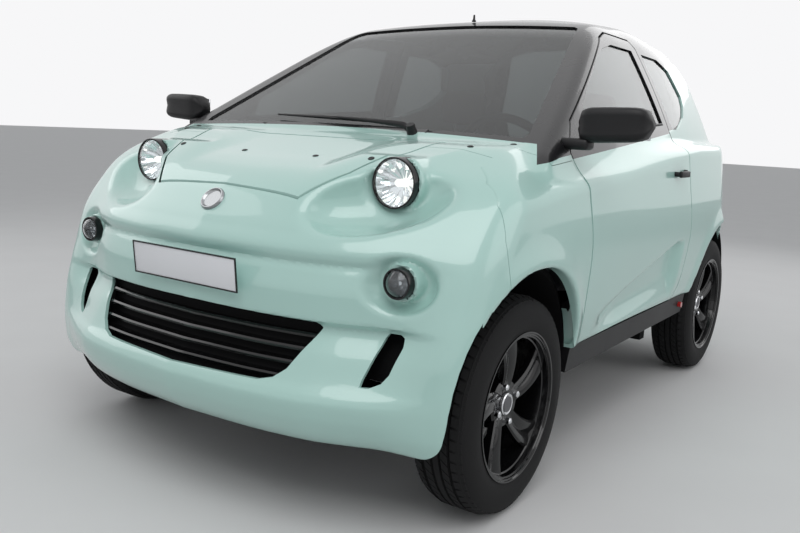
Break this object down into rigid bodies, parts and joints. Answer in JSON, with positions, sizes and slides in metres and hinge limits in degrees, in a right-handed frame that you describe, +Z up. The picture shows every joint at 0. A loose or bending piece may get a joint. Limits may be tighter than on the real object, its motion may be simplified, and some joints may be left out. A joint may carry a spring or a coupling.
{
  "type": "two-seat microcar",
  "caption": "Small two-door, two-seat city car with a sloping nose, round lamps, raked windscreen, black roof and glazed tailgate; doors, bonnet, tailgate, steering and wheels move.",
  "frame": {"origin": "on the ground, under the middle of the overall length and width", "axes": "+X to the car's left, the front faces -Y, +Z up"},
  "size_m": [1.792, 2.758, 1.434],
  "materials": {
    "body_paint": "gloss",
    "black_trim": "satin",
    "black_plastic": "matte",
    "glass": "polished",
    "lamp": "polished",
    "tail_lamp": "gloss",
    "chrome": "polished",
    "frame_alloy": "satin",
    "steel": "satin",
    "iron": "matte",
    "alloy_black": "gloss",
    "tyre": "matte",
    "fabric": "woven",
    "plate_white": "gloss"
  },
  "bodies": {
    "body": {"antenna": "black_plastic", "badge": "chrome", "chassis_frame": "frame_alloy", "dashboard": "black_plastic", "driver_seat": "fabric", "engine": "iron", "floor_tub": "black_plastic", "front_arms": "steel", "front_fascia": "body_paint", "front_lamps": "lamp", "front_plate": "plate_white", "grille": "black_plastic", "headlamps": "lamp", "passenger_seat": "fabric", "pillar_frame": "black_trim", "quarter_panels": "body_paint", "quarter_windows": "glass", "rear_axle": "steel", "rear_bumper": "body_paint", "roof_panel": "black_trim", "scuttle": "body_paint", "seat_bases": "black_plastic", "side_markers": "tail_lamp", "side_mirrors": "black_plastic", "sills": "black_plastic", "steering_wheel": "black_plastic", "tail_lamps": "tail_lamp", "wheel_liners": "black_plastic", "windscreen": "glass", "wings": "body_paint", "wiper": "black_plastic"},
    "bonnet": {"bonnet": "body_paint"},
    "door_left": {"door_left_frame": "black_trim", "door_left_glass": "glass", "door_left_handle": "black_plastic", "door_left_shell": "body_paint"},
    "door_right": {"door_right_frame": "black_trim", "door_right_glass": "glass", "door_right_handle": "black_plastic", "door_right_shell": "body_paint"},
    "knuckle_left": {"knuckle_left": "steel"},
    "knuckle_right": {"knuckle_right": "steel"},
    "tailgate": {"rear_plate": "plate_white", "tailgate_frame": "black_trim", "tailgate_glass": "glass"},
    "wheel_front_left": {"wheel_front_left_rim": "alloy_black", "wheel_front_left_tyre": "tyre"},
    "wheel_front_right": {"wheel_front_right_rim": "alloy_black", "wheel_front_right_tyre": "tyre"},
    "wheel_rear_left": {"wheel_rear_left_rim": "alloy_black", "wheel_rear_left_tyre": "tyre"},
    "wheel_rear_right": {"wheel_rear_right_rim": "alloy_black", "wheel_rear_right_tyre": "tyre"}
  },
  "joints": [
    {"name": "left_steer", "type": "hinge", "parent": "body", "child": "knuckle_left", "pos_m": [0.575, -0.869, 0.278], "axis": [0, 0, 1], "range_deg": [-32, 32]},
    {"name": "right_steer", "type": "hinge", "parent": "body", "child": "knuckle_right", "pos_m": [-0.575, -0.869, 0.278], "axis": [0, 0, 1], "range_deg": [-32, 32]},
    {"name": "front_left_roll", "type": "hinge", "parent": "knuckle_left", "child": "wheel_front_left", "pos_m": [0.638, -0.869, 0.278], "axis": [1, 0, 0], "continuous": true},
    {"name": "front_right_roll", "type": "hinge", "parent": "knuckle_right", "child": "wheel_front_right", "pos_m": [-0.638, -0.869, 0.278], "axis": [1, 0, 0], "continuous": true},
    {"name": "rear_left_roll", "type": "hinge", "parent": "body", "child": "wheel_rear_left", "pos_m": [0.638, 0.896, 0.278], "axis": [1, 0, 0], "continuous": true},
    {"name": "rear_right_roll", "type": "hinge", "parent": "body", "child": "wheel_rear_right", "pos_m": [-0.638, 0.896, 0.278], "axis": [1, 0, 0], "continuous": true},
    {"name": "left_door_hinge", "type": "hinge", "parent": "body", "child": "door_left", "pos_m": [0.727, -0.509, 0.65], "axis": [0, 0, -1], "range_deg": [0, 65]},
    {"name": "right_door_hinge", "type": "hinge", "parent": "body", "child": "door_right", "pos_m": [-0.727, -0.509, 0.65], "axis": [0, 0, 1], "range_deg": [0, 65]},
    {"name": "bonnet_hinge", "type": "hinge", "parent": "body", "child": "bonnet", "pos_m": [0, -0.81, 0.911], "axis": [-1, 0, 0], "range_deg": [0, 55]},
    {"name": "tailgate_hinge", "type": "hinge", "parent": "body", "child": "tailgate", "pos_m": [0, 0.955, 1.429], "axis": [1, 0, 0], "range_deg": [0, 75]}
  ],
  "couplings": [
    {"joint": "right_steer", "follows": "left_steer", "ratio": 1}
  ]
}
